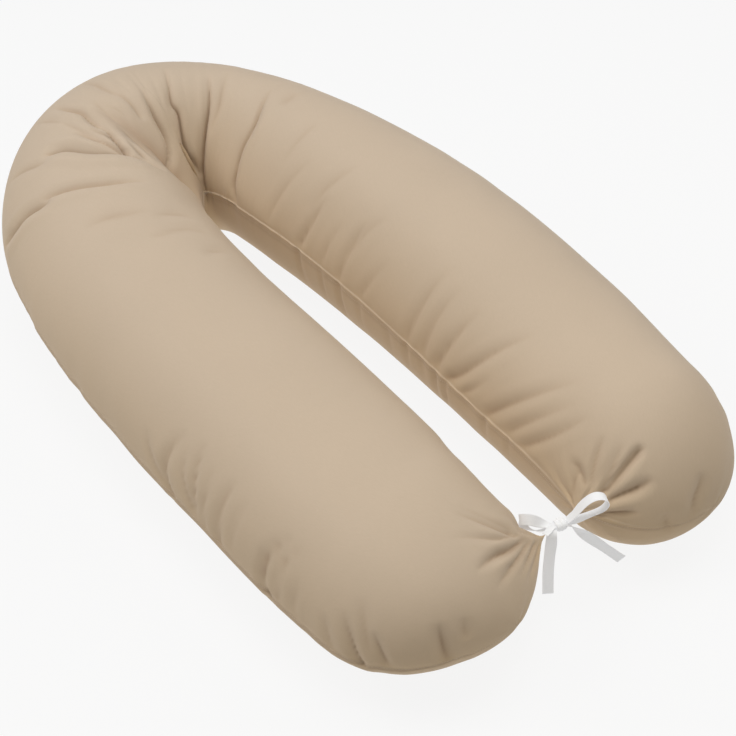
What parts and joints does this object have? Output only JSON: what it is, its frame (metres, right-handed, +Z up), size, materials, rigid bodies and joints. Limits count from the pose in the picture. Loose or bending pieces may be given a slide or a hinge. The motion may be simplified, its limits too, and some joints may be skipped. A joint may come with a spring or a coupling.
{
  "type": "body pillow",
  "caption": "Long stuffed body pillow in plain cotton, folded in a U, its two ends tied together with a tape bow.",
  "frame": {"origin": "on the surface that the pillow lies on, under the middle of its bounding box", "axes": "+X along the legs toward the tied ends, +Y from the near leg to the far leg, +Z up"},
  "size_m": [1.0456, 0.6132, 0.2343],
  "materials": {
    "cotton": "matte plain weave",
    "tape": "matte woven tape"
  },
  "bodies": {
    "root": {"pillow": "cotton", "near_tie": "tape", "far_tie": "tape", "bow_knot": "tape"}
  },
  "joints": []
}
